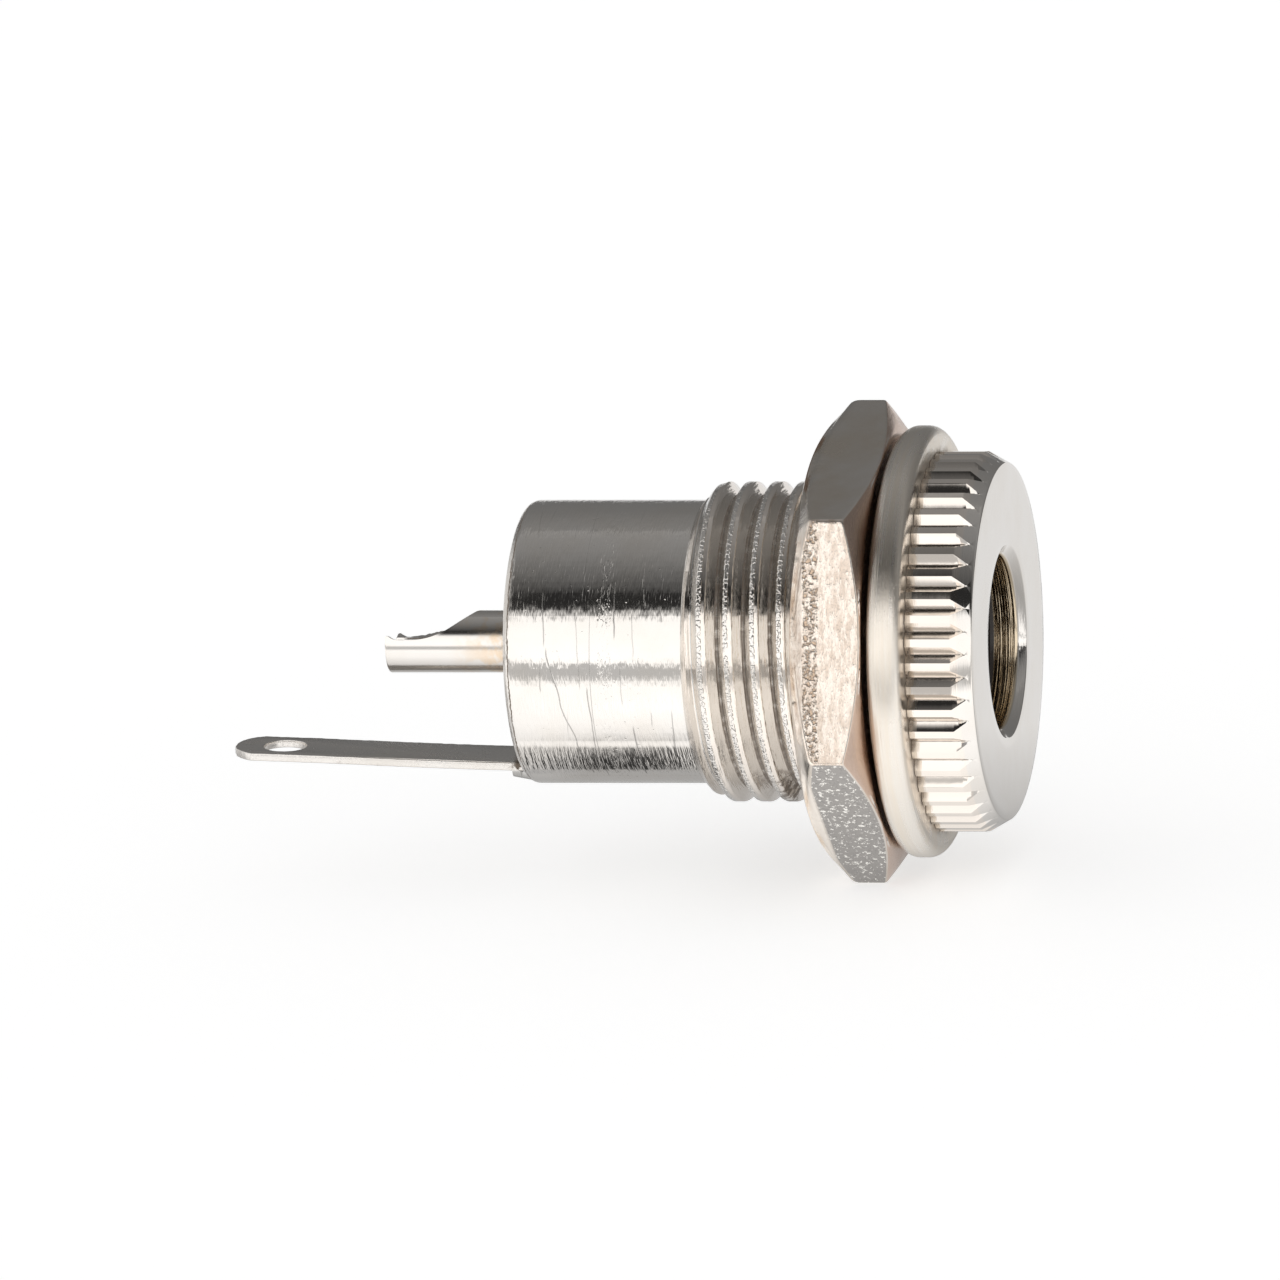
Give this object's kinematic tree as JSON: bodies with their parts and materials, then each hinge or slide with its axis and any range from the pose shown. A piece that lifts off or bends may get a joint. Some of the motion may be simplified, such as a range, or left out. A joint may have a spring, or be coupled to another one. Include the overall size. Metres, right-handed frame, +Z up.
{
  "type": "dc barrel jack",
  "caption": "Panel-mount DC power jack: knurled flange, threaded metal shell with washer and hex nut, centre pin with solder cup, and a flat ground tab.",
  "frame": {"origin": "on the jack's axis, at the back face of the flange, where the panel sits", "axes": "+X along the axis, out of the mouth towards the plug; +Z up; the ground tab is on the -Z side and points along -X"},
  "size_m": [0.0294, 0.0172, 0.0172],
  "materials": {
    "bright_nickel": "bright nickel plate with fine turning lines and light scratches",
    "insulator_plastic": "dark moulded plastic",
    "pin_nickel": "nickel plate, a little brown near the root",
    "spring_nickel": "nickel-plated sheet with raw, burred edges",
    "satin_nickel": "satin nickel plate with faint yellow stains",
    "nut_nickel": "rough nickel plate with fine pits and scratches"
  },
  "bodies": {
    "root": {"shell": "bright_nickel", "insulator": "insulator_plastic", "centre_pin": "pin_nickel", "sleeve_contact": "spring_nickel", "washer": "satin_nickel", "hex_nut": "nut_nickel"}
  },
  "joints": []
}
